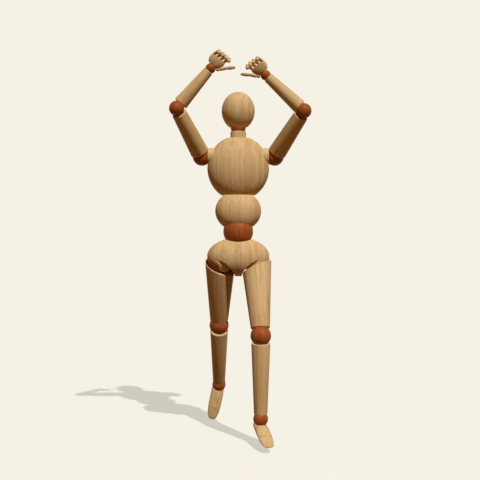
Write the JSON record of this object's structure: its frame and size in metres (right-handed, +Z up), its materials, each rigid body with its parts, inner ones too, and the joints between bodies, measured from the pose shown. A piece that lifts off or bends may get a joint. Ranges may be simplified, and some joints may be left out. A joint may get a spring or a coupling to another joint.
{
  "type": "artist drawing mannequin",
  "caption": "Jointed wooden drawing mannequin with turned limbs on stained ball joints, articulated fingers and toe pieces, posed with its arms raised overhead.",
  "frame": {"origin": "middle of the flat under the pelvis, on the axis of the stand socket", "axes": "+Z up along the spine, the figure faces -Y, +X is the figure's left side"},
  "size_m": [0.1602, 0.1693, 0.4462],
  "materials": {
    "beech": "satin pale beech",
    "stained beech": "satin red-brown stain",
    "spring steel": "bright drawn wire"
  },
  "bodies": {
    "abdomen": {"abdomen": "beech", "spine_spring": "spring steel"},
    "ankle_ball_left": {"ankle_ball_left": "stained beech"},
    "ankle_ball_right": {"ankle_ball_right": "stained beech"},
    "chest": {"chest": "beech"},
    "elbow_ball_left": {"elbow_ball_left": "stained beech"},
    "elbow_ball_right": {"elbow_ball_right": "stained beech"},
    "foot_left": {"foot_left": "beech"},
    "foot_right": {"foot_right": "beech"},
    "forearm_left": {"forearm_left": "beech"},
    "forearm_right": {"forearm_right": "beech"},
    "head": {"head": "beech"},
    "head_ball": {"head_ball": "stained beech"},
    "hip_ball_left": {"hip_ball_left": "stained beech"},
    "hip_ball_right": {"hip_ball_right": "stained beech"},
    "index_base_left": {"index_base_left": "beech"},
    "index_base_right": {"index_base_right": "beech"},
    "index_tip_left": {"index_tip_left": "beech"},
    "index_tip_right": {"index_tip_right": "beech"},
    "knee_ball_left": {"knee_ball_left": "stained beech"},
    "knee_ball_right": {"knee_ball_right": "stained beech"},
    "leg_spring_left": {"leg_spring_left": "spring steel"},
    "leg_spring_right": {"leg_spring_right": "spring steel"},
    "little_base_left": {"little_base_left": "beech"},
    "little_base_right": {"little_base_right": "beech"},
    "little_tip_left": {"little_tip_left": "beech"},
    "little_tip_right": {"little_tip_right": "beech"},
    "middle_base_left": {"middle_base_left": "beech"},
    "middle_base_right": {"middle_base_right": "beech"},
    "middle_tip_left": {"middle_tip_left": "beech"},
    "middle_tip_right": {"middle_tip_right": "beech"},
    "neck": {"neck": "beech"},
    "palm_left": {"palm_left": "beech"},
    "palm_right": {"palm_right": "beech"},
    "pelvis": {"pelvis": "beech"},
    "ring_base_left": {"ring_base_left": "beech"},
    "ring_base_right": {"ring_base_right": "beech"},
    "ring_tip_left": {"ring_tip_left": "beech"},
    "ring_tip_right": {"ring_tip_right": "beech"},
    "shin_left": {"shin_left": "beech"},
    "shin_right": {"shin_right": "beech"},
    "shoulder_ball_left": {"shoulder_ball_left": "stained beech"},
    "shoulder_ball_right": {"shoulder_ball_right": "stained beech"},
    "shoulder_boss_left": {"shoulder_boss_left": "beech"},
    "shoulder_boss_right": {"shoulder_boss_right": "beech"},
    "thigh_left": {"thigh_left": "beech"},
    "thigh_right": {"thigh_right": "beech"},
    "thumb_base_left": {"thumb_base_left": "beech"},
    "thumb_base_right": {"thumb_base_right": "beech"},
    "thumb_tip_left": {"thumb_tip_left": "beech"},
    "thumb_tip_right": {"thumb_tip_right": "beech"},
    "toes_left": {"toes_left": "beech"},
    "toes_right": {"toes_right": "beech"},
    "upper_arm_left": {"upper_arm_left": "beech", "arm_spring_left": "spring steel"},
    "upper_arm_right": {"upper_arm_right": "beech", "arm_spring_right": "spring steel"},
    "waist_ball": {"waist_ball": "stained beech"},
    "wrist_ball_left": {"wrist_ball_left": "stained beech"},
    "wrist_ball_right": {"wrist_ball_right": "stained beech"}
  },
  "joints": [
    {"name": "waist_bend", "type": "hinge", "parent": "pelvis", "child": "waist_ball", "pos_m": [0, 0, 0.0526], "axis": [1, 0, 0], "range_deg": [-30, 30]},
    {"name": "waist_side", "type": "hinge", "parent": "waist_ball", "child": "abdomen", "pos_m": [0, 0, 0.0526], "axis": [0, 1, 0], "range_deg": [-25, 25]},
    {"name": "chest_turn", "type": "hinge", "parent": "abdomen", "child": "chest", "pos_m": [0, 0, 0.0952], "axis": [0, 0, 1], "range_deg": [-45, 45]},
    {"name": "neck_turn", "type": "hinge", "parent": "chest", "child": "neck", "pos_m": [0, 0, 0.1628], "axis": [0, 0, 1], "range_deg": [-75, 75]},
    {"name": "head_nod", "type": "hinge", "parent": "neck", "child": "head_ball", "pos_m": [0, 0, 0.175], "axis": [1, 0, 0], "range_deg": [-20, 20]},
    {"name": "head_tilt", "type": "hinge", "parent": "head_ball", "child": "head", "pos_m": [0, 0, 0.175], "axis": [0, 1, 0], "range_deg": [-20, 20]},
    {"name": "arm_swing_left", "type": "hinge", "parent": "chest", "child": "shoulder_boss_left", "pos_m": [0.0428, 0, 0.141], "axis": [1, 0, 0], "range_deg": [-80, 85]},
    {"name": "arm_raise_left", "type": "hinge", "parent": "shoulder_boss_left", "child": "shoulder_ball_left", "pos_m": [0.0428, 0, 0.141], "axis": [0, -0.7501, -0.6613], "range_deg": [-100, 5]},
    {"name": "arm_turn_left", "type": "hinge", "parent": "shoulder_ball_left", "child": "upper_arm_left", "pos_m": [0.0428, 0, 0.141], "axis": [-0.4462, 0.5918, -0.6713], "range_deg": [-90, 28]},
    {"name": "elbow_bend_left", "type": "hinge", "parent": "upper_arm_left", "child": "elbow_ball_left", "pos_m": [0.07403, -0.04143, 0.18799], "axis": [-0.3867, -0.804, -0.4518], "range_deg": [-81, 0]},
    {"name": "forearm_turn_left", "type": "hinge", "parent": "elbow_ball_left", "child": "forearm_left", "pos_m": [0.07403, -0.04143, 0.18799], "axis": [0.7352, 0.027, -0.6773], "range_deg": [-56, 62]},
    {"name": "wrist_bend_left", "type": "hinge", "parent": "forearm_left", "child": "wrist_ball_left", "pos_m": [0.03088, -0.04301, 0.22775], "axis": [-0.6067, 0.4718, -0.6398], "range_deg": [-28, 45]},
    {"name": "wrist_tilt_left", "type": "hinge", "parent": "wrist_ball_left", "child": "palm_left", "pos_m": [0.03088, -0.04301, 0.22775], "axis": [0.2344, 0.8752, 0.4231], "range_deg": [-30, 18]},
    {"name": "index_curl_left", "type": "hinge", "parent": "palm_left", "child": "index_base_left", "pos_m": [0.01562, -0.04254, 0.23522], "axis": [0.7181, -0.4493, 0.5315], "range_deg": [-48, 10]},
    {"name": "index_tip_curl_left", "type": "hinge", "parent": "index_base_left", "child": "index_tip_left", "pos_m": [0.01022, -0.04932, 0.23678], "axis": [0.7181, -0.4493, 0.5315], "range_deg": [-62, 1]},
    {"name": "middle_curl_left", "type": "hinge", "parent": "palm_left", "child": "middle_base_left", "pos_m": [0.01906, -0.04469, 0.23777], "axis": [0.7181, -0.4493, 0.5315], "range_deg": [-48, 10]},
    {"name": "middle_tip_curl_left", "type": "hinge", "parent": "middle_base_left", "child": "middle_tip_left", "pos_m": [0.0133, -0.05194, 0.23944], "axis": [0.7181, -0.4493, 0.5315], "range_deg": [-62, 1]},
    {"name": "ring_curl_left", "type": "hinge", "parent": "palm_left", "child": "ring_base_left", "pos_m": [0.02251, -0.04685, 0.24033], "axis": [0.7181, -0.4493, 0.5315], "range_deg": [-48, 10]},
    {"name": "ring_tip_curl_left", "type": "hinge", "parent": "ring_base_left", "child": "ring_tip_left", "pos_m": [0.017, -0.05378, 0.24191], "axis": [0.7181, -0.4493, 0.5315], "range_deg": [-62, 1]},
    {"name": "little_curl_left", "type": "hinge", "parent": "palm_left", "child": "little_base_left", "pos_m": [0.02596, -0.04901, 0.24288], "axis": [0.7181, -0.4493, 0.5315], "range_deg": [-48, 10]},
    {"name": "little_tip_curl_left", "type": "hinge", "parent": "little_base_left", "child": "little_tip_left", "pos_m": [0.02106, -0.05517, 0.24429], "axis": [0.7181, -0.4493, 0.5315], "range_deg": [-62, 1]},
    {"name": "thumb_spread_left", "type": "hinge", "parent": "palm_left", "child": "thumb_base_left", "pos_m": [0.02292, -0.04138, 0.2269], "axis": [-0.2344, -0.8752, -0.4231], "range_deg": [-4, 15]},
    {"name": "thumb_tip_curl_left", "type": "hinge", "parent": "thumb_base_left", "child": "thumb_tip_left", "pos_m": [0.0144, -0.03991, 0.22857], "axis": [0.0274, -0.441, 0.8971], "range_deg": [0, 50]},
    {"name": "hip_swing_left", "type": "hinge", "parent": "pelvis", "child": "hip_ball_left", "pos_m": [0.0218, 0, 0.0172], "axis": [-1, 0, 0], "range_deg": [-49, 3]},
    {"name": "hip_side_left", "type": "hinge", "parent": "hip_ball_left", "child": "leg_spring_left", "pos_m": [0.0218, 0, 0.0172], "axis": [0, -0.9444, 0.3289], "range_deg": [-3, 7]},
    {"name": "thigh_turn_left", "type": "hinge", "parent": "leg_spring_left", "child": "thigh_left", "pos_m": [0.0218, 0, 0.0172], "axis": [-0.0454, 0.3285, 0.9434], "range_deg": [-8, 8]},
    {"name": "knee_bend_left", "type": "hinge", "parent": "thigh_left", "child": "knee_ball_left", "pos_m": [0.02584, -0.02924, -0.06676], "axis": [0.9939, 0.1103, 0.0094], "range_deg": [-23, 46]},
    {"name": "shin_turn_left", "type": "hinge", "parent": "knee_ball_left", "child": "shin_left", "pos_m": [0.02584, -0.02924, -0.06676], "axis": [-0.0006, -0.0797, 0.9968], "range_deg": [-30, 30]},
    {"name": "ankle_point_left", "type": "hinge", "parent": "shin_left", "child": "ankle_ball_left", "pos_m": [0.02589, -0.02151, -0.16345], "axis": [0.9797, 0.1996, 0.0165], "range_deg": [-28, 45]},
    {"name": "ankle_roll_left", "type": "hinge", "parent": "ankle_ball_left", "child": "foot_left", "pos_m": [0.02589, -0.02151, -0.16345], "axis": [-0.198, 0.9525, 0.2312], "range_deg": [-15, 15]},
    {"name": "toe_lift_left", "type": "hinge", "parent": "foot_left", "child": "toes_left", "pos_m": [0.03149, -0.04865, -0.18094], "axis": [-0.9789, -0.2044, 0.0039], "range_deg": [-16, 25]},
    {"name": "arm_swing_right", "type": "hinge", "parent": "chest", "child": "shoulder_boss_right", "pos_m": [-0.0428, 0, 0.141], "axis": [1, 0, 0], "range_deg": [-80, 85]},
    {"name": "arm_raise_right", "type": "hinge", "parent": "shoulder_boss_right", "child": "shoulder_ball_right", "pos_m": [-0.0428, 0, 0.141], "axis": [0, 0.7683, 0.6401], "range_deg": [-100, 1]},
    {"name": "arm_turn_right", "type": "hinge", "parent": "shoulder_ball_right", "child": "upper_arm_right", "pos_m": [-0.0428, 0, 0.141], "axis": [-0.3778, -0.5927, 0.7113], "range_deg": [-90, 28]},
    {"name": "elbow_bend_right", "type": "hinge", "parent": "upper_arm_right", "child": "elbow_ball_right", "pos_m": [-0.06925, -0.04149, 0.19079], "axis": [-0.4573, 0.7875, 0.4132], "range_deg": [-72, 9]},
    {"name": "forearm_turn_right", "type": "hinge", "parent": "elbow_ball_right", "child": "forearm_right", "pos_m": [-0.06925, -0.04149, 0.19079], "axis": [0.651, -0.0201, 0.7588], "range_deg": [-56, 62]},
    {"name": "wrist_bend_right", "type": "hinge", "parent": "forearm_right", "child": "wrist_ball_right", "pos_m": [-0.03104, -0.04267, 0.23534], "axis": [-0.6767, -0.4684, 0.5681], "range_deg": [-28, 45]},
    {"name": "wrist_tilt_right", "type": "hinge", "parent": "wrist_ball_right", "child": "palm_right", "pos_m": [-0.03104, -0.04267, 0.23534], "axis": [0.2621, -0.8743, -0.4086], "range_deg": [-30, 18]},
    {"name": "index_curl_right", "type": "hinge", "parent": "palm_right", "child": "index_base_right", "pos_m": [-0.01587, -0.04168, 0.24296], "axis": [0.7117, 0.461, -0.53], "range_deg": [-48, 10]},
    {"name": "index_tip_curl_right", "type": "hinge", "parent": "index_base_right", "child": "index_tip_right", "pos_m": [-0.01032, -0.0483, 0.24467], "axis": [0.7117, 0.461, -0.53], "range_deg": [-62, 1]},
    {"name": "middle_curl_right", "type": "hinge", "parent": "palm_right", "child": "middle_base_right", "pos_m": [-0.01929, -0.0439, 0.24551], "axis": [0.7117, 0.461, -0.53], "range_deg": [-48, 10]},
    {"name": "middle_tip_curl_right", "type": "hinge", "parent": "middle_base_right", "child": "middle_tip_right", "pos_m": [-0.01336, -0.05096, 0.24733], "axis": [0.7117, 0.461, -0.53], "range_deg": [-62, 1]},
    {"name": "ring_curl_right", "type": "hinge", "parent": "palm_right", "child": "ring_base_right", "pos_m": [-0.02271, -0.04611, 0.24805], "axis": [0.7117, 0.461, -0.53], "range_deg": [-48, 10]},
    {"name": "ring_tip_curl_right", "type": "hinge", "parent": "ring_base_right", "child": "ring_tip_right", "pos_m": [-0.01703, -0.05287, 0.24979], "axis": [0.7117, 0.461, -0.53], "range_deg": [-62, 1]},
    {"name": "little_curl_right", "type": "hinge", "parent": "palm_right", "child": "little_base_right", "pos_m": [-0.02612, -0.04832, 0.2506], "axis": [0.7117, 0.461, -0.53], "range_deg": [-48, 10]},
    {"name": "little_tip_curl_right", "type": "hinge", "parent": "little_base_right", "child": "little_tip_right", "pos_m": [-0.02108, -0.05434, 0.25214], "axis": [0.7117, 0.461, -0.53], "range_deg": [-62, 1]},
    {"name": "thumb_spread_right", "type": "hinge", "parent": "palm_right", "child": "thumb_base_right", "pos_m": [-0.02311, -0.04084, 0.23455], "axis": [-0.2621, 0.8743, 0.4086], "range_deg": [-4, 15]},
    {"name": "thumb_tip_curl_right", "type": "hinge", "parent": "thumb_base_right", "child": "thumb_tip_right", "pos_m": [-0.01466, -0.03911, 0.23629], "axis": [0.0256, 0.4295, -0.9027], "range_deg": [0, 50]},
    {"name": "hip_swing_right", "type": "hinge", "parent": "pelvis", "child": "hip_ball_right", "pos_m": [-0.0218, 0, 0.0172], "axis": [-1, 0, 0], "range_deg": [-3, 49]},
    {"name": "hip_side_right", "type": "hinge", "parent": "hip_ball_right", "child": "leg_spring_right", "pos_m": [-0.0218, 0, 0.0172], "axis": [0, 0.8926, 0.4509], "range_deg": [-2, 8]},
    {"name": "thigh_turn_right", "type": "hinge", "parent": "leg_spring_right", "child": "thigh_right", "pos_m": [-0.0218, 0, 0.0172], "axis": [0.0209, -0.4508, 0.8924], "range_deg": [-8, 8]},
    {"name": "knee_bend_right", "type": "hinge", "parent": "thigh_right", "child": "knee_ball_right", "pos_m": [-0.02366, 0.04012, -0.06222], "axis": [0.9979, -0.0451, -0.0462], "range_deg": [-4, 65]},
    {"name": "shin_turn_right", "type": "hinge", "parent": "knee_ball_right", "child": "shin_right", "pos_m": [-0.02366, 0.04012, -0.06222], "axis": [0.0157, -0.5253, 0.8508], "range_deg": [-30, 30]},
    {"name": "ankle_point_right", "type": "hinge", "parent": "shin_right", "child": "ankle_ball_right", "pos_m": [-0.02518, 0.09107, -0.14475], "axis": [0.9583, -0.2351, -0.1628], "range_deg": [-68, 5]},
    {"name": "ankle_roll_right", "type": "hinge", "parent": "ankle_ball_right", "child": "foot_right", "pos_m": [-0.02518, 0.09107, -0.14475], "axis": [-0.2012, -0.1502, -0.968], "range_deg": [-15, 15]},
    {"name": "toe_lift_right", "type": "hinge", "parent": "foot_right", "child": "toes_right", "pos_m": [-0.03173, 0.0969, -0.17632], "axis": [-0.9791, 0.0009, 0.2034], "range_deg": [-10, 31]}
  ]
}
